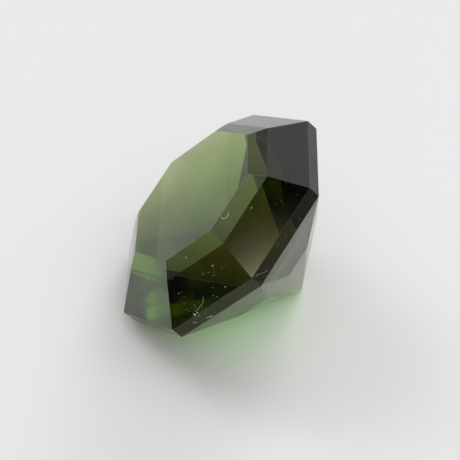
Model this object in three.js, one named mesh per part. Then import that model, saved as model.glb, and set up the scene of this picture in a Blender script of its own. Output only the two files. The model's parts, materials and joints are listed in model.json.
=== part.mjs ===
// A faceted octagonal tourmaline that lies on one facet of its pavilion.
// Millimetres, +Z up. The stone rests on z = 0, its point aims towards +X and its table leans towards -X.

import * as THREE from 'three';
import { mergeVertices } from 'three/addons/utils/BufferGeometryUtils.js';

// Driving dimensions of the cut

const SIDES = 8;
const GIRDLE_WIDTH = 8.0; // across two opposite flats of the girdle
const GIRDLE_HEIGHT = 0.42;
const STEP_WIDTH = 5.88; // across the line where the two rows of crown facets meet
const STEP_HEIGHT = 0.88; // of that line above the girdle
const TABLE_WIDTH = 4.86; // across two opposite sides of the table
const CROWN_HEIGHT = 1.21; // of the table above the girdle
const MAIN_ANGLE = THREE.MathUtils.degToRad(41.8); // of the facets that meet in the point, against the girdle
const REST_ANGLE = THREE.MathUtils.degToRad(42.7); // of the one main that the stone lies on, cut a little deeper
const REST_SIDE = 4; // counted round the stone from the +X side, so this main faces -X
const BREAK_ANGLE = THREE.MathUtils.degToRad(48.2); // of the eight facets under the girdle

// What the cutter's hand left uneven: the crown sits a little off the girdle's centre, and some of its
// facets were ground a little deeper. The lists run round the stone from the +X side, in steps of 45 degrees.

const CROWN_SHIFT = new THREE.Vector2(0.09, 0.05);
const STEP_NUDGES = [0.02, 0, 0, 0, 0, -0.01, 0.01, -0.02];
const TABLE_NUDGES = [0.01, 0, -0.01, 0, 0.01, -0.02, 0.03, -0.03];

const STONE_COLOUR = 0x4b5a2c;
const STONE_ROUGHNESS = 0.03;

const SIDE_TURN = 2 * Math.PI / SIDES;
const NO_SHIFT = new THREE.Vector2(0, 0);
const EVEN = new Array(SIDES).fill(0);

// The corners of one level ring of the stone, each where two neighbouring sides cross

function ringCorners(width, height, shift, nudges) {
  const corners = [];
  for (let side = 0; side < SIDES; side++) {
    const next = (side + 1) % SIDES;
    const angle = side * SIDE_TURN;
    const nextAngle = next * SIDE_TURN;
    const reach = sideReach(width, angle, shift, nudges[side]);
    const nextReach = sideReach(width, nextAngle, shift, nudges[next]);
    const x = (reach * Math.sin(nextAngle) - nextReach * Math.sin(angle)) / Math.sin(SIDE_TURN);
    const y = (nextReach * Math.cos(angle) - reach * Math.cos(nextAngle)) / Math.sin(SIDE_TURN);
    corners.push(new THREE.Vector3(x, y, height));
  }
  return corners;
}

// The distance from the stone's axis to the side that faces the angle

function sideReach(width, angle, shift, nudge) {
  return width / 2 + shift.x * Math.cos(angle) + shift.y * Math.sin(angle) + nudge;
}

// The crown and the girdle: four level rings, with flat facets between them

const table = ringCorners(TABLE_WIDTH, CROWN_HEIGHT, CROWN_SHIFT, TABLE_NUDGES);
const step = ringCorners(STEP_WIDTH, STEP_HEIGHT, CROWN_SHIFT, STEP_NUDGES);
const upperGirdle = ringCorners(GIRDLE_WIDTH, 0, NO_SHIFT, EVEN);
const lowerGirdle = ringCorners(GIRDLE_WIDTH, -GIRDLE_HEIGHT, NO_SHIFT, EVEN);

// The pavilion: the mains rise from the point, those between two sides to a corner of the girdle.
// The breaks cut across the mains from the girdle's flats.

const cornerReach = GIRDLE_WIDTH / 2 / Math.cos(SIDE_TURN / 2);
const pointDepth = cornerReach * Math.tan(MAIN_ANGLE);
const point = new THREE.Vector3(0, 0, -GIRDLE_HEIGHT - pointDepth);
const breakDrop = Math.tan(BREAK_ANGLE) * GIRDLE_WIDTH / 2;

// One end of the short edge where the break of a side meets the main below it

function breakEnd(side, way) {
  const steepness = Math.tan(side === REST_SIDE ? REST_ANGLE : MAIN_ANGLE);
  const reach = (breakDrop - pointDepth) / (Math.tan(BREAK_ANGLE) - steepness);
  const spread = (steepness / Math.tan(MAIN_ANGLE) - Math.cos(SIDE_TURN / 2)) / Math.sin(SIDE_TURN / 2);
  const end = new THREE.Vector3(reach, way * reach * spread, point.z + reach * steepness);
  return end.applyAxisAngle(new THREE.Vector3(0, 0, 1), side * SIDE_TURN);
}

// Each facet is a flat ring of corners, anticlockwise as seen from outside the stone

function stoneFacets() {
  const facets = [table];
  for (let side = 0; side < SIDES; side++) {
    const before = (side + SIDES - 1) % SIDES;
    const after = (side + 1) % SIDES;
    const start = breakEnd(side, -1);
    const end = breakEnd(side, 1);
    facets.push([step[before], step[side], table[side], table[before]]);
    facets.push([upperGirdle[before], upperGirdle[side], step[side], step[before]]);
    facets.push([lowerGirdle[before], lowerGirdle[side], upperGirdle[side], upperGirdle[before]]);
    facets.push([start, end, lowerGirdle[side], lowerGirdle[before]]);
    facets.push([point, end, start]);
    facets.push([point, breakEnd(after, -1), lowerGirdle[side], end]);
  }
  return facets;
}

// A closed geometry from the facets, with each facet split into triangles from its first corner

function facetGeometry(facets) {
  const corners = [];
  for (const facet of facets) {
    for (let i = 1; i < facet.length - 1; i++) {
      corners.push(facet[0], facet[i], facet[i + 1]);
    }
  }
  return mergeVertices(new THREE.BufferGeometry().setFromPoints(corners), 1e-6);
}

const stoneMaterial = new THREE.MeshStandardMaterial({
  color: STONE_COLOUR,
  roughness: STONE_ROUGHNESS,
  metalness: 0,
  flatShading: true,
});

const tourmaline = new THREE.Mesh(facetGeometry(stoneFacets()), stoneMaterial);
tourmaline.name = 'tourmaline';

// The stone tips over by the angle of the main that faces -X, which makes that facet level. It is then
// lifted until the facet lies on z = 0, and centred over the origin.

tourmaline.rotation.y = -REST_ANGLE;
tourmaline.updateMatrix();
const placed = tourmaline.geometry.clone().applyMatrix4(tourmaline.matrix);
placed.computeBoundingBox();
const centre = placed.boundingBox.getCenter(new THREE.Vector3());
tourmaline.position.set(-centre.x, -centre.y, -placed.boundingBox.min.z);

const part = new THREE.Group();
part.add(tourmaline);

export default part;
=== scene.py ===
import json
import math
import random

import bmesh
import bpy
from mathutils import Euler, Matrix, Vector
from mathutils.bvhtree import BVHTree
from mathutils.geometry import interpolate_bezier


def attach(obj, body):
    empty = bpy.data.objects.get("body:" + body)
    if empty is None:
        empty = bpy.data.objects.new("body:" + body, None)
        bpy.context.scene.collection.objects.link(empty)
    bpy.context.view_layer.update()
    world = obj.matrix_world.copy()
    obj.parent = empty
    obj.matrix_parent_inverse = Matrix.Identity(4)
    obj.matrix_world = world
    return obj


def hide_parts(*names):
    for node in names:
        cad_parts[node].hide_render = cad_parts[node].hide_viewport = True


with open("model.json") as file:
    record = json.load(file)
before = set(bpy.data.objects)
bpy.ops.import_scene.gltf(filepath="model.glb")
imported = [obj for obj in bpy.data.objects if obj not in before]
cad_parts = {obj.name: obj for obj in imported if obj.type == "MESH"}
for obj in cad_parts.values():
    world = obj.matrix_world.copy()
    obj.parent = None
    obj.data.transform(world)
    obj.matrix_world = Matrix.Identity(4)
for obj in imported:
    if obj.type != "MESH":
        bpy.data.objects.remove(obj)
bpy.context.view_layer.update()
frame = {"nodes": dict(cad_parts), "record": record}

# Camera
# It stands in front of the stone, a little over 50 mm away, and looks down on it at a slant, with the long
# lens of a close-up. From there the stone's table faces up and to the left.

MM = 0.001
VIEW_TURN = math.radians(0.872)
VIEW_TILT = math.radians(41.737)
VIEW_ROLL = math.radians(0.248)
CAMERA_PLACE = Vector((0.9307, -39.0191, 37.4474)) * MM
LENS = 126.016
SENSOR = 36
NEAREST = 1 * MM
FARTHEST = 20

scene = bpy.context.scene
camera_data = bpy.data.cameras.new("camera")
camera_data.sensor_width = SENSOR
camera_data.lens = LENS
camera_data.clip_start = NEAREST
camera_data.clip_end = FARTHEST
camera = bpy.data.objects.new("camera", camera_data)
camera.matrix_world = (
    Matrix.Translation(CAMERA_PLACE)
    @ Matrix.Rotation(VIEW_TURN, 4, "Z")
    @ Matrix.Rotation(math.radians(90) - VIEW_TILT, 4, "X")
    @ Matrix.Rotation(VIEW_ROLL, 4, "Z")
)
scene.collection.objects.link(camera)
scene.camera = camera

# The stone
# One crystal of clear green tourmaline. It is ground flat by flat on a lap and then polished, so its
# facets are true and its edges only a few thousandths of a millimetre round. Its green turns deeper and
# browner through the steep facets of the crown. This is partly because tourmaline is darker along its
# length than across it, and partly painted shade: those facets are darkened one by one.

SIDES = 8
EDGE_WIDTH = 0.005 * MM
EDGE_STEPS = 2
ROUND_PROFILE = 0.5
SAME_CORNER = 0.00001 * MM
FLAT_ENOUGH = math.radians(0.05)
REFRACTION = 1.635

# The exponents of absorption for red, green and blue, and how near to black the volume's colour may come
ABSORBED_PER_MM = (0.335, 0.243, 0.605)
DARKEST_SHARE = 0.99

# The rows of facets from the table to the point, and the least cosine of each row's slope to the table's
FACET_ROWS = (
    ("table", 0.98), ("star", 0.80), ("crown", 0.50),
    ("girdle", -0.30), ("break", -0.70), ("main", -1.01),
)

# The share of red, green and blue that is left of light that goes in and out through a facet, for a row
# or for one facet, by its row and side. It stands partly for the darker green along the crystal's length.
# In part it is painted shade and light: facets are darkened or lightened one by one to the light and dark
# they show from the front, and the resting facet is made greener for the green light under the stone.
ALL_LIGHT = (1.0, 1.0, 1.0)
ROW_TONES = {"break": (1.0, 0.92, 1.0), "main": (1.0, 0.95, 1.0)}
FACET_TONES_AND_PAINTED_SHADE = {
    ("star", 0): (0.34, 0.21, 0.60),
    ("star", 7): (0.70, 0.50, 0.54),
    ("star", 6): (0.88, 0.62, 0.90),
    ("star", 5): (1.0, 1.0, 0.95),
    ("crown", 0): (0.048, 0.012, 0.048),
    ("crown", 7): (0.102, 0.046, 0.063),
    ("crown", 6): (0.172, 0.060, 0.022),
    ("crown", 5): (0.46, 0.36, 0.50),
    ("girdle", 0): (0.005, 0.005, 0.005),
    ("girdle", 7): (0.06, 0.015, 0.01),
    ("girdle", 6): (0.005, 0.005, 0.002),
    ("girdle", 5): (0.35, 0.32, 0.30),
    ("break", 7): (0.50, 0.36, 0.50),
    ("break", 6): (0.50, 0.18, 0.44),
    ("main", 4): (0.80, 1.0, 0.35),
    ("main", 6.5): (1.0, 0.45, 1.0),
    ("main", 7): (1.0, 0.45, 1.0),
}

# The haze of a row. Under the crown it stands in for the blur that a close-up has behind its sharp part.
ROW_HAZE = {"girdle": 0.06, "break": 0.20, "main": 0.12}
CROWN_HAZE = 0.004

# The share of red, green and blue that is left of what a facet mirrors, which is painted shade on the
# reflections. Two flats of the girdle shine less than the rest, and the table's reflection is tinted
# green.
ROW_REFLECTION_SHADES = {"table": (0.93, 1.0, 0.84)}
FACET_REFLECTION_SHADES = {
    ("girdle", 0): (0.25, 0.25, 0.25),
    ("girdle", 6): (0.66, 0.67, 0.44),
}

# Faint growth zones, drawn out one way, which shade the tone, and polishing marks, with the share of the
# haze that a facet has between them and on them
ZONES_PER_MM = 0.55
ZONE_STRETCH = (1.0, 1.0, 0.35)
ZONE_SHADES = ((0.84, 0.90, 0.80, 1), (1, 1, 1, 1))
ZONE_EDGES = (0.40, 0.60)
POLISH_MARKS_PER_MM = 6
HAZE_BETWEEN_MARKS = 0.6
HAZE_ON_MARKS = 1.4

# Painted light: soft green patches in the low facet at the left end, standing in for light that the
# pavilion throws up through the crown. The middle and the reach of each are given in millimetres.
PAINTED_LIGHT_FACET = ("crown", 5)
PAINTED_LIGHT_TONE = (0.95, 1.0, 0.72, 1)
PAINTED_LIGHT_PATCHES = (
    ((-2.14, -2.78, 1.56), 0.60),
    ((-2.34, -2.57, 1.36), 0.40),
    ((-2.08, -2.66, 1.95), 0.50),
    ((-2.22, -2.04, 2.41), 0.25),
    ((-1.98, -2.37, 2.64), 0.25),
    ((-1.73, -2.69, 2.87), 0.25),
)

# The stone's axis, which comes out through its table, and the way across it that side 0 faces
MOUNT_AXES = {mount["name"]: Vector(mount["axis"]) for mount in frame["record"]["mounts"]}
TABLE_AXIS = MOUNT_AXES["table"].normalized()
FIRST_SIDE_AXIS = Vector((0, 1, 0)).cross(TABLE_AXIS)


# The row of facets that a flat belongs to, told by its slope against the table
def facet_row(normal):
    return next(row for row, least in FACET_ROWS if normal.dot(TABLE_AXIS) > least)


# The side of the octagon that a flat faces, counted from the +X side. A flat between two sides, as half
# of the mains are, gets the half number between theirs.
def facet_side(normal):
    turn = math.atan2(normal.y, normal.dot(FIRST_SIDE_AXIS))
    half_sides = round(2 * turn / (math.tau / SIDES))
    return half_sides / 2 % SIDES


# The CAD mesh with its loose triangles joined into whole facets
def whole_facets():
    facets = bmesh.new()
    facets.from_mesh(frame["nodes"]["tourmaline"].data)
    bmesh.ops.remove_doubles(facets, verts=facets.verts, dist=SAME_CORNER)
    bmesh.ops.dissolve_limit(facets, angle_limit=FLAT_ENOUGH, verts=facets.verts, edges=facets.edges)
    return facets


# The whole facets with their edges a little rounded. Each facet is marked with its tone and painted shade,
# its haze, the painted shade on its reflection, and whether it bears the patches of painted light.
def polished_stone():
    facets = whole_facets()
    tone_and_painted_shade = facets.faces.layers.float_color.new("tone_and_painted_shade")
    haze = facets.faces.layers.float.new("haze")
    reflection_shade = facets.faces.layers.float_color.new("reflection_shade")
    has_painted_light = facets.faces.layers.float.new("has_painted_light")
    for facet in facets.faces:
        row = facet_row(facet.normal)
        here = (row, facet_side(facet.normal))
        # A facet's tone holds painted shade and light as well as the stone's own green
        facet[tone_and_painted_shade] = (*FACET_TONES_AND_PAINTED_SHADE.get(here, ROW_TONES.get(row, ALL_LIGHT)), 1)
        facet[haze] = ROW_HAZE.get(row, CROWN_HAZE)
        facet[reflection_shade] = (*FACET_REFLECTION_SHADES.get(here, ROW_REFLECTION_SHADES.get(row, ALL_LIGHT)), 1)
        facet[has_painted_light] = here == PAINTED_LIGHT_FACET
    bmesh.ops.bevel(facets, geom=facets.edges, offset=EDGE_WIDTH, offset_type="OFFSET",
                    segments=EDGE_STEPS, profile=ROUND_PROFILE, affect="EDGES", clamp_overlap=True)
    mesh = bpy.data.meshes.new("polished_tourmaline")
    facets.to_mesh(mesh)
    facets.free()
    return mesh


# Gives an input of a node its value, which is a number, a colour or another node's output
def feed(tree, socket, value):
    if isinstance(value, bpy.types.NodeSocket):
        tree.links.new(value, socket)
    else:
        socket.default_value = value


# What a math node makes of one value or two
def calculated(tree, operation, first, second=0):
    node = tree.nodes.new("ShaderNodeMath")
    node.operation = operation
    feed(tree, node.inputs[0], first)
    feed(tree, node.inputs[1], second)
    return node.outputs["Value"]


# A value that is greatest at a middle and fades to nothing at its reach, both in millimetres
def fading(tree, place, middle, reach, greatest):
    away = tree.nodes.new("ShaderNodeVectorMath")
    away.operation = "DISTANCE"
    away.inputs[1].default_value = Vector(middle) * MM
    tree.links.new(place, away.inputs[0])
    fade = tree.nodes.new("ShaderNodeMapRange")
    fade.interpolation_type = "SMOOTHERSTEP"
    fade.inputs["From Max"].default_value = reach * MM
    fade.inputs["To Min"].default_value = greatest
    fade.inputs["To Max"].default_value = 0
    tree.links.new(away.outputs["Value"], fade.inputs["Value"])
    return fade.outputs["Result"]


# Soft noise of a given fineness
def mottling(tree, place, per_mm):
    node = tree.nodes.new("ShaderNodeTexNoise")
    node.inputs["Scale"].default_value = per_mm / MM
    tree.links.new(place, node.inputs["Vector"])
    return node.outputs["Fac"]


# A value turned into two shades that blend between two edges
def shaded(tree, value, edges, shades):
    node = tree.nodes.new("ShaderNodeValToRGB")
    for stop, position, shade in zip(node.color_ramp.elements, edges, shades):
        stop.position = position
        stop.color = shade
    tree.links.new(value, node.inputs["Fac"])
    return node.outputs["Color"]


# Clear glass that absorbs light on the way through it, green the least. Its facets take from the mesh
# their tone and painted shade, their haze and the painted shade on their reflections, and one facet takes
# patches of painted light. Growth zones vary the tone, and the marks that polishing leaves vary the haze.
def tourmaline_glass():
    glass = bpy.data.materials.new("green_tourmaline")
    glass.use_nodes = True
    tree = glass.node_tree
    nodes, links = tree.nodes, tree.links
    nodes.clear()

    def facet_mark(name, output):
        node = nodes.new("ShaderNodeAttribute")
        node.attribute_name = name
        return node.outputs[output]

    def mixed(kind, share, first, second):
        node = nodes.new("ShaderNodeMixRGB")
        node.blend_type = kind
        for socket, value in zip(node.inputs, (share, first, second)):
            feed(tree, socket, value)
        return node.outputs["Color"]

    place = nodes.new("ShaderNodeTexCoord").outputs["Object"]
    drawn_out = nodes.new("ShaderNodeMapping")
    drawn_out.inputs["Scale"].default_value = ZONE_STRETCH
    links.new(place, drawn_out.inputs["Vector"])
    zones = mottling(tree, drawn_out.outputs["Vector"], ZONES_PER_MM)
    zone_colour = shaded(tree, zones, ZONE_EDGES, ZONE_SHADES)
    # The facet tones carry painted shade, and the growth zones carry the stone's own tone
    colour = mixed("MULTIPLY", 1, facet_mark("tone_and_painted_shade", "Color"), zone_colour)
    # Painted light: soft green patches mixed into the colour of one low facet
    for middle, reach in PAINTED_LIGHT_PATCHES:
        painted_light = fading(tree, place, middle, reach, 1)
        painted_light = calculated(tree, "MULTIPLY", painted_light, facet_mark("has_painted_light", "Fac"))
        colour = mixed("MIX", painted_light, colour, PAINTED_LIGHT_TONE)

    marks = nodes.new("ShaderNodeMapRange")
    marks.inputs["To Min"].default_value = HAZE_BETWEEN_MARKS
    marks.inputs["To Max"].default_value = HAZE_ON_MARKS
    links.new(mottling(tree, place, POLISH_MARKS_PER_MM), marks.inputs["Value"])
    haze = calculated(tree, "MULTIPLY", facet_mark("haze", "Fac"), marks.outputs["Result"])

    surface = nodes.new("ShaderNodeBsdfPrincipled")
    surface.inputs["IOR"].default_value = REFRACTION
    surface.inputs["Transmission Weight"].default_value = 1
    links.new(colour, surface.inputs["Base Color"])
    # Painted shade on reflections: each facet's specular tint dims or tints what it mirrors
    links.new(facet_mark("reflection_shade", "Color"), surface.inputs["Specular Tint"])
    links.new(haze, surface.inputs["Roughness"])
    density = max(ABSORBED_PER_MM) / MM / DARKEST_SHARE
    body = nodes.new("ShaderNodeVolumeAbsorption")
    body.inputs["Density"].default_value = density
    body.inputs["Color"].default_value = (*(1 - part / MM / density for part in ABSORBED_PER_MM), 1)
    result = nodes.new("ShaderNodeOutputMaterial")
    links.new(surface.outputs["BSDF"], result.inputs["Surface"])
    links.new(body.outputs["Volume"], result.inputs["Volume"])
    return glass


stone = bpy.data.objects.new("polished_tourmaline", polished_stone())
scene.collection.objects.link(stone)
stone.data.materials.append(tourmaline_glass())
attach(stone, "root")
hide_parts("tourmaline")

# Dust on the stone
# House dust that has settled on the polish: grey grains, most of them one or two hundredths of a
# millimetre across and a few of them larger. It lies thickest on the front sides, round the hair and round
# the end of the lint.

SPECKS_PER_MM2 = 7.0
SMALLEST_SPECK = 0.004 * MM
LARGEST_SPECK = 0.010 * MM
LEAST_STRETCH = (0.7, 0.7, 0.7)
MOST_STRETCH = (1.5, 1.1, 1.1)
SPECK_CUTS = 1
SPECK_SEED = 23
FACET_CUTS = 5

# How thick the dust lies on a facet, as a share of the specks above. Facets that face down stay bare.
BARE_SHARE = 0.2
DUST_SHARES = {
    ("star", 7): 1.6, ("star", 6): 1.2, ("star", 5): 0.4,
    ("crown", 7): 0.6, ("crown", 6): 0.8, ("crown", 5): 0.4,
    ("girdle", 7): 2.5, ("girdle", 6): 2.0,
}
UNDERSIDE_SLOPE = -0.05

# Where specks have gathered: the middle and the reach in millimetres, and the specks per mm2 at its middle
GATHERINGS = (
    ((0.31, -2.26, 4.98), 0.45, 150),
    ((-0.51, -3.99, 2.80), 0.50, 220),
    ((-0.21, -3.29, 3.88), 0.30, 70),
)

# The larger grains: the place and the half width of each, in millimetres
LARGE_GRAINS = (
    ((1.02, -1.99, 5.32), 0.020),
    ((-0.96, -2.65, 3.84), 0.018),
    ((-0.13, -3.21, 4.04), 0.019),
    ((-0.43, -3.25, 3.72), 0.017),
    ((0.15, -3.39, 4.11), 0.012),
    ((-0.09, -3.43, 3.83), 0.012),
    ((-1.18, -3.33, 2.95), 0.015),
    ((0.27, -3.82, 3.74), 0.017),
    ((-0.10, -3.84, 3.38), 0.010),
    ((0.01, -3.91, 3.40), 0.010),
)
GRAIN_SHAPE = (1.25, 0.8, 1.0)
GRAIN_CUTS = 2
GRAIN_ROUGHNESS = 0.22
GRAIN_SEED = 3

GRAIN_COLOUR = (0.56, 0.56, 0.49, 1)
DUST_HAZE = 0.9
DUST_SHINE = 0.2
DARK_SPOTS = 0.6
SPOTS_PER_MM = 9
SPOT_EDGES = (0.35, 0.65)

stone_surface = BVHTree.FromBMesh(whole_facets())


# The place of something small on the stone near a point, lifted off the facet by half its thickness
def laid_on_stone(point, lift):
    spot, normal, _, _ = stone_surface.find_nearest(point)
    return spot + normal * lift


# Dull and mottled, as mineral dust and textile fibres are
def dust_material(name, colour):
    dust = bpy.data.materials.new(name)
    dust.use_nodes = True
    tree = dust.node_tree
    surface = tree.nodes["Principled BSDF"]
    surface.inputs["Roughness"].default_value = DUST_HAZE
    surface.inputs["Specular IOR Level"].default_value = DUST_SHINE
    place = tree.nodes.new("ShaderNodeTexCoord").outputs["Object"]
    dark = (*(part * DARK_SPOTS for part in colour[:3]), 1)
    spots = shaded(tree, mottling(tree, place, SPOTS_PER_MM), SPOT_EDGES, (dark, colour))
    tree.links.new(spots, surface.inputs["Base Color"])
    return dust


grain_grey = dust_material("grain_grey", GRAIN_COLOUR)


# The facets that dust settles on, each marked with how thick it lies
def dusty_facets():
    facets = whole_facets()
    share = facets.faces.layers.float.new("dust_share")
    undersides = [facet for facet in facets.faces if facet.normal.z < UNDERSIDE_SLOPE]
    bmesh.ops.delete(facets, geom=undersides, context="FACES")
    for facet in facets.faces:
        here = (facet_row(facet.normal), facet_side(facet.normal))
        facet[share] = DUST_SHARES.get(here, BARE_SHARE)
    mesh = bpy.data.meshes.new("dusty_facets")
    facets.to_mesh(mesh)
    facets.free()
    return mesh


# The node tree that scatters specks over a mesh and keeps only the specks. The mesh is cut fine first, so
# that the specks can gather round a point in the middle of a facet.
def speck_scatter():
    tree = bpy.data.node_groups.new("speck_scatter", "GeometryNodeTree")
    tree.interface.new_socket("Facets", in_out="INPUT", socket_type="NodeSocketGeometry")
    for name in ("Specks per m2", "Smallest", "Largest"):
        tree.interface.new_socket(name, in_out="INPUT", socket_type="NodeSocketFloat")
    for name in ("Facet cuts", "Seed"):
        tree.interface.new_socket(name, in_out="INPUT", socket_type="NodeSocketInt")
    tree.interface.new_socket("Material", in_out="INPUT", socket_type="NodeSocketMaterial")
    tree.interface.new_socket("Specks", in_out="OUTPUT", socket_type="NodeSocketGeometry")
    nodes, links = tree.nodes, tree.links
    given = nodes.new("NodeGroupInput").outputs

    def scaled(vector, factor):
        node = nodes.new("ShaderNodeVectorMath")
        node.operation = "SCALE"
        links.new(vector, node.inputs[0])
        links.new(factor, node.inputs["Scale"])
        return node.outputs["Vector"]

    def random_value(kind, least, most):
        node = nodes.new("FunctionNodeRandomValue")
        node.data_type = kind
        feed(tree, node.inputs["Min"], least)
        feed(tree, node.inputs["Max"], most)
        links.new(given["Seed"], node.inputs["Seed"])
        return node.outputs["Value"]

    cut = nodes.new("GeometryNodeSubdivideMesh")
    links.new(given["Facets"], cut.inputs["Mesh"])
    links.new(given["Facet cuts"], cut.inputs["Level"])
    share = nodes.new("GeometryNodeInputNamedAttribute")
    share.inputs["Name"].default_value = "dust_share"
    density = calculated(tree, "MULTIPLY", given["Specks per m2"], share.outputs["Attribute"])
    place = nodes.new("GeometryNodeInputPosition").outputs["Position"]
    for middle, reach, specks_per_mm2 in GATHERINGS:
        gathered = fading(tree, place, middle, reach, specks_per_mm2 / MM ** 2)
        density = calculated(tree, "ADD", density, gathered)

    points = nodes.new("GeometryNodeDistributePointsOnFaces")
    links.new(cut.outputs["Mesh"], points.inputs["Mesh"])
    links.new(density, points.inputs["Density"])
    links.new(given["Seed"], points.inputs["Seed"])
    size = random_value("FLOAT", given["Smallest"], given["Largest"])
    turn = random_value("FLOAT_VECTOR", (0, 0, 0), (math.tau, math.tau, math.tau))
    stretch = random_value("FLOAT_VECTOR", LEAST_STRETCH, MOST_STRETCH)
    lifted = nodes.new("GeometryNodeSetPosition")
    links.new(points.outputs["Points"], lifted.inputs["Geometry"])
    links.new(scaled(points.outputs["Normal"], size), lifted.inputs["Offset"])
    speck = nodes.new("GeometryNodeMeshIcoSphere")
    speck.inputs["Radius"].default_value = 1
    speck.inputs["Subdivisions"].default_value = SPECK_CUTS
    specks = nodes.new("GeometryNodeInstanceOnPoints")
    links.new(lifted.outputs["Geometry"], specks.inputs["Points"])
    links.new(speck.outputs["Mesh"], specks.inputs["Instance"])
    links.new(turn, specks.inputs["Rotation"])
    links.new(scaled(stretch, size), specks.inputs["Scale"])
    whole = nodes.new("GeometryNodeRealizeInstances")
    links.new(specks.outputs["Instances"], whole.inputs["Geometry"])
    paint = nodes.new("GeometryNodeSetMaterial")
    links.new(whole.outputs["Geometry"], paint.inputs["Geometry"])
    links.new(given["Material"], paint.inputs["Material"])
    links.new(paint.outputs["Geometry"], nodes.new("NodeGroupOutput").inputs["Specks"])
    return tree


# All the specks as one plain mesh. The object that carried the scatter is removed.
def scattered_specks():
    host = bpy.data.objects.new("dust_host", dusty_facets())
    scene.collection.objects.link(host)
    scatter = host.modifiers.new("scatter", "NODES")
    scatter.node_group = speck_scatter()
    given = {socket.name: socket.identifier for socket in scatter.node_group.interface.items_tree}
    scatter[given["Specks per m2"]] = SPECKS_PER_MM2 / MM ** 2
    scatter[given["Smallest"]] = SMALLEST_SPECK
    scatter[given["Largest"]] = LARGEST_SPECK
    scatter[given["Facet cuts"]] = FACET_CUTS
    scatter[given["Seed"]] = SPECK_SEED
    scatter[given["Material"]] = grain_grey
    shown = host.evaluated_get(bpy.context.evaluated_depsgraph_get())
    mesh = bpy.data.meshes.new_from_object(shown)
    mesh.name = "dust_specks"
    bpy.data.objects.remove(host)
    return mesh


specks = bpy.data.objects.new("dust_specks", scattered_specks())
scene.collection.objects.link(specks)
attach(specks, "root")


# A shape made of one material, added as a piece that moves with the stone
def add_piece(name, shape, material):
    mesh = bpy.data.meshes.new(name)
    shape.to_mesh(mesh)
    shape.free()
    mesh.materials.append(material)
    piece = bpy.data.objects.new(name, mesh)
    scene.collection.objects.link(piece)
    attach(piece, "root")


# Rough grains that lie on the stone, joined in one piece
def add_grains(name, places, material):
    heap = bmesh.new()
    draw = random.Random(GRAIN_SEED)
    for place, half_width in places:
        half_width *= MM
        centre = laid_on_stone(Vector(place) * MM, half_width * min(GRAIN_SHAPE))
        turn = Euler([draw.uniform(0, math.tau) for _ in range(3)]).to_matrix().to_4x4()
        shape = Matrix.Diagonal((*(half_width * part for part in GRAIN_SHAPE), 1))
        made = bmesh.ops.create_icosphere(heap, subdivisions=GRAIN_CUTS, radius=1,
                                          matrix=Matrix.Translation(centre) @ turn @ shape)
        for corner in made["verts"]:
            corner.co += (corner.co - centre) * draw.uniform(-GRAIN_ROUGHNESS, GRAIN_ROUGHNESS)
    add_piece(name, heap, material)


add_grains("large_grains", LARGE_GRAINS, grain_grey)

# Hair and lint on the stone
# A short hair that curls over the near edge of the table, a thin lint fibre that hangs down the front of
# the crown with crumbs caught at its end, two scraps of lint under it and a brown fibre along the girdle.
# They cling to the polish. Their places, thicknesses and half widths are in millimetres.

HAIR_COLOUR = (0.70, 0.70, 0.60, 1)
HAIR_THICKNESS = 0.018
HAIR_PATH = (
    (0.08, -2.03, 5.00), (0.12, -2.10, 4.99), (0.19, -2.14, 5.00),
    (0.27, -2.11, 5.03), (0.31, -2.04, 5.08), (0.33, -1.99, 5.10),
)
LINT_COLOUR = (0.44, 0.46, 0.36, 1)
LINT_THICKNESS = 0.011
LINT_PATH = (
    (-0.41, -3.72, 3.23), (-0.41, -3.79, 3.14), (-0.44, -3.86, 3.05),
    (-0.52, -3.89, 2.94), (-0.59, -3.93, 2.84), (-0.62, -3.95, 2.78),
)
TAIL_THICKNESS = 0.009
TAIL_PATH = ((-0.57, -4.00, 2.74), (-0.53, -4.00, 2.68), (-0.49, -4.00, 2.61))
SCRAP_THICKNESS = 0.018
NEAR_SCRAP_PATH = ((-0.33, -4.00, 2.57), (-0.24, -4.00, 2.62), (-0.10, -4.00, 2.70))
FAR_SCRAP_PATH = ((-0.74, -4.00, 2.36), (-0.67, -4.00, 2.38), (-0.59, -4.00, 2.42))
BROWN_COLOUR = (0.30, 0.26, 0.20, 1)
BROWN_THICKNESS = 0.013
BROWN_PATH = (
    (1.16, -3.94, 4.26), (1.22, -3.90, 4.31), (1.31, -3.84, 4.31),
    (1.43, -3.74, 4.28), (1.49, -3.68, 4.29), (1.53, -3.63, 4.33),
)
CRUMBS = (((-0.66, -3.99, 2.70), 0.026), ((-0.59, -3.98, 2.78), 0.021))

SPAN_POINTS = 7
HANDLE_PARTS = 6
FIBRE_SIDES = 6
TIP_SHARE = 0.15
TIP_TAPER = 6


# A smooth path through knots, laid on the stone. Its handles at a knot run the same way as the line
# between the knots on either side, and are a sixth as long.
def smooth_path(places, lift):
    knots = [Vector(place) * MM for place in places]
    knots = [2 * knots[0] - knots[1], *knots, 2 * knots[-1] - knots[-2]]
    path = []
    for before, start, end, after in zip(knots, knots[1:], knots[2:], knots[3:]):
        leave = start + (end - before) / HANDLE_PARTS
        arrive = end - (after - start) / HANDLE_PARTS
        path += interpolate_bezier(start, leave, arrive, end, SPAN_POINTS)[:-1]
    path.append(knots[-2])
    return [laid_on_stone(point, lift) for point in path]


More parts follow.
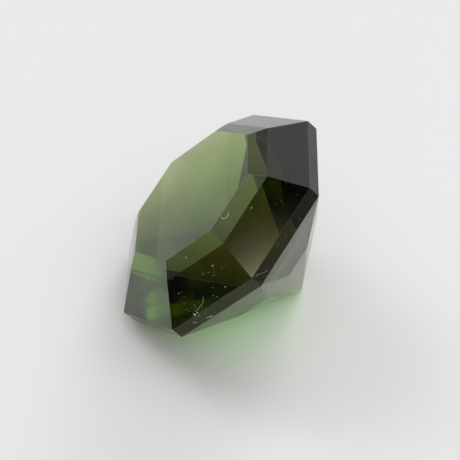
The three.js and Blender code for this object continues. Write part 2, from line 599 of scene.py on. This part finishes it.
# A round fibre that lies along a path and thins to a tip at both ends
def add_fibre(name, places, thickness, material):
    thickness *= MM
    path = smooth_path(places, thickness / 2)
    tube = bmesh.new()
    rings = []
    across = (path[1] - path[0]).orthogonal()
    for step, point in enumerate(path):
        along = (path[min(step + 1, len(path) - 1)] - path[max(step - 1, 0)]).normalized()
        across = (across - along * across.dot(along)).normalized()
        share = step / (len(path) - 1)
        radius = thickness / 2 * min(1, TIP_SHARE + TIP_TAPER * min(share, 1 - share))
        ring = []
        for side in range(FIBRE_SIDES):
            turn = Matrix.Rotation(math.tau * side / FIBRE_SIDES, 3, along)
            ring.append(tube.verts.new(point + turn @ across * radius))
        rings.append(ring)
    for ring, following in zip(rings, rings[1:]):
        for side in range(FIBRE_SIDES):
            after = (side + 1) % FIBRE_SIDES
            wall = tube.faces.new((ring[side], ring[after], following[after], following[side]))
            wall.smooth = True
    tube.faces.new(rings[0][::-1])
    tube.faces.new(rings[-1])
    add_piece(name, tube, material)


pale_lint = dust_material("pale_lint", LINT_COLOUR)
pale_hair = dust_material("pale_hair", HAIR_COLOUR)
add_fibre("curled_hair", HAIR_PATH, HAIR_THICKNESS, pale_hair)
add_fibre("lint_fibre", LINT_PATH, LINT_THICKNESS, pale_lint)
add_fibre("lint_tail", TAIL_PATH, TAIL_THICKNESS, pale_lint)
add_fibre("near_scrap", NEAR_SCRAP_PATH, SCRAP_THICKNESS, pale_hair)
add_fibre("far_scrap", FAR_SCRAP_PATH, SCRAP_THICKNESS, pale_lint)
add_fibre("brown_fibre", BROWN_PATH, BROWN_THICKNESS, dust_material("brown_thread", BROWN_COLOUR))
add_grains("lint_crumbs", CRUMBS, pale_hair)

# The floor
# A plain pale sheet of card that the stone lies on, far wider than the view. It isn't part of the stone.
# It lies a hundredth of a millimetre lower, so that the stone's lowest facet and the card don't coincide.

FLOOR_RADIUS = 1.5
FLOOR_SIDES = 96
FLOOR_DROP = 0.01 * MM
FLOOR_COLOUR = (0.810, 0.803, 0.810, 1)

card = bmesh.new()
bmesh.ops.create_circle(card, cap_ends=True, radius=FLOOR_RADIUS, segments=FLOOR_SIDES)
bmesh.ops.translate(card, verts=card.verts, vec=(0, 0, -FLOOR_DROP))
floor_mesh = bpy.data.meshes.new("floor")
card.to_mesh(floor_mesh)
card.free()
floor = bpy.data.objects.new("floor", floor_mesh)
scene.collection.objects.link(floor)
pale_card = bpy.data.materials.new("pale_card")
pale_card.use_nodes = True
card_surface = pale_card.node_tree.nodes["Principled BSDF"]
card_surface.inputs["Base Color"].default_value = FLOOR_COLOUR
card_surface.inputs["Roughness"].default_value = 1
card_surface.inputs["Specular IOR Level"].default_value = 0
floor.data.materials.append(pale_card)

# The light
# Soft studio light from all round: a dim room, brighter overhead, with large soft lamps behind and beside
# the stone, dark cards between them and a few small lamps, which give its facets their light and dark.
# The floor hides most of the lamp under the horizon, and only its upper edge shows.

# The room's light rises along the slope, less the dimming, and is nowhere below the least
ROOM_SLOPE = (-0.31, -0.507, 1.021)
ROOM_DIMMING = 0.045
ROOM_LEAST = 0.03

# A lamp or card: its strength, the degrees from +Y round towards +X, the degrees above the floor, and the
# degrees from its middle to where it has faded to a half
LOW_BACK_LAMP = (11.5, 17, 12, 11)
HIGH_LEFT_LAMP = (5.7, 313, 43, 9)
LOW_LEFT_LAMP = (2.7, 315, 0, 16)
RIGHT_LAMP = (2.0, 55, 37, 27)
FLOOR_LAMP = (3.1, 137, -32, 20)
WIDE_LEFT_CARD = (0.98, 238, 19, 31)
OVERHEAD_CARD = (1.0, 258, 70, 10)
RIGHT_CARD = (1.0, 58, 36, 14)
LOW_LEFT_CARD = (0.8, 316, 7, 12)
LEFT_CARD = (0.75, 249, 14, 5)
HIGH_BACK_CARD = (0.35, 299, 69, 5)
SMALL_FRONT_LAMP = (6.0, 228, 67, 2)
SMALL_TOP_LAMP = (4.0, 66, 76, 2)
SMALL_RIGHT_LAMP = (4.0, 85, 44, 1.5)
DIM_LEFT_LAMP = (0.14, 262, 19, 5)
WARM_LAMP = (5.6, 247, 69, 1.5)
WARM_COLOUR = (1.0, 0.90, 0.55, 1)

studio = bpy.data.worlds.new("studio")
studio.use_nodes = True
scene.world = studio
sky = studio.node_tree
sky.nodes.clear()
direction = sky.nodes.new("ShaderNodeTexCoord").outputs["Generated"]


# How far the sky's direction reaches along an axis
def sky_along(axis):
    node = sky.nodes.new("ShaderNodeVectorMath")
    node.operation = "DOT_PRODUCT"
    sky.links.new(direction, node.inputs[0])
    node.inputs[1].default_value = axis
    return node.outputs["Value"]


# The unit vector that points some degrees round from +Y towards +X and some degrees up
def towards(turn, height):
    turn, height = math.radians(turn), math.radians(height)
    level = math.cos(height)
    return Vector((level * math.sin(turn), level * math.cos(turn), math.sin(height)))


# A soft round patch of sky: its strength at its middle, fading to a half at its half width
def soft_patch(strength, turn, height, half_width):
    sharpness = math.log(2) / (1 - math.cos(math.radians(half_width)))
    off_middle = calculated(sky, "SUBTRACT", sky_along(towards(turn, height)), 1)
    fall = calculated(sky, "EXPONENT", calculated(sky, "MULTIPLY", off_middle, sharpness))
    return calculated(sky, "MULTIPLY", fall, strength)


light = calculated(sky, "SUBTRACT", sky_along(ROOM_SLOPE), ROOM_DIMMING)
light = calculated(sky, "MAXIMUM", light, ROOM_LEAST)
for lamp in (LOW_BACK_LAMP, HIGH_LEFT_LAMP, LOW_LEFT_LAMP, RIGHT_LAMP, FLOOR_LAMP):
    light = calculated(sky, "ADD", light, soft_patch(*lamp))
for dark_card in (WIDE_LEFT_CARD, OVERHEAD_CARD, RIGHT_CARD, LOW_LEFT_CARD, LEFT_CARD, HIGH_BACK_CARD):
    light = calculated(sky, "MULTIPLY", light, calculated(sky, "SUBTRACT", 1, soft_patch(*dark_card)))
for lamp in (SMALL_FRONT_LAMP, SMALL_TOP_LAMP, SMALL_RIGHT_LAMP, DIM_LEFT_LAMP):
    light = calculated(sky, "ADD", light, soft_patch(*lamp))
white_sky = sky.nodes.new("ShaderNodeBackground")
white_sky.inputs["Color"].default_value = (1, 1, 1, 1)
sky.links.new(light, white_sky.inputs["Strength"])
warm_sky = sky.nodes.new("ShaderNodeBackground")
warm_sky.inputs["Color"].default_value = WARM_COLOUR
sky.links.new(soft_patch(*WARM_LAMP), warm_sky.inputs["Strength"])
whole_sky = sky.nodes.new("ShaderNodeAddShader")
sky.links.new(white_sky.outputs["Background"], whole_sky.inputs[0])
sky.links.new(warm_sky.outputs["Background"], whole_sky.inputs[1])
sky_output = sky.nodes.new("ShaderNodeOutputWorld")
sky.links.new(whole_sky.outputs["Shader"], sky_output.inputs["Surface"])

# The green light that comes out of the stone's underside
# It falls on the card in front of the stone. A narrow soft green lamp stands in for it, low enough in
# front of the stone to light the card right up to the stone's edge.

GLOW_COLOUR = (0.35, 1.0, 0.32)
GLOW_MIDDLE = Vector((0.1, 0.1, 0)) * MM
GLOW_TURN = 160
GLOW_HEIGHT = 41
GLOW_DISTANCE = 80 * MM
GLOW_WIDTH = math.radians(4.6)
GLOW_POWER = 0.067

glow = bpy.data.lights.new("glow_through_stone", "SPOT")
glow.color = GLOW_COLOUR
glow.energy = GLOW_POWER
glow.spot_size = GLOW_WIDTH
glow.spot_blend = 1
glow.shadow_soft_size = 0
glow_lamp = bpy.data.objects.new("glow_through_stone", glow)
glow_side = towards(GLOW_TURN, GLOW_HEIGHT)
glow_lamp.matrix_world = (
    Matrix.Translation(GLOW_MIDDLE + glow_side * GLOW_DISTANCE)
    @ glow_side.to_track_quat("Z", "Y").to_matrix().to_4x4()
)
scene.collection.objects.link(glow_lamp)

# The picture's tones, and how far light is followed
# Light is turned back inside the stone many times before it comes out, so it is followed through many
# more surfaces than usual. Light that the stone mirrors or bends onto other surfaces counts too.

STONE_BOUNCES = 32
MIRROR_BOUNCES = 16
CARD_BOUNCES = 4

scene.view_settings.view_transform = "Standard"
scene.cycles.max_bounces = STONE_BOUNCES
scene.cycles.transmission_bounces = STONE_BOUNCES
scene.cycles.glossy_bounces = MIRROR_BOUNCES
scene.cycles.diffuse_bounces = CARD_BOUNCES
scene.cycles.caustics_reflective = True
scene.cycles.caustics_refractive = True
scene.cycles.sample_clamp_indirect = 0
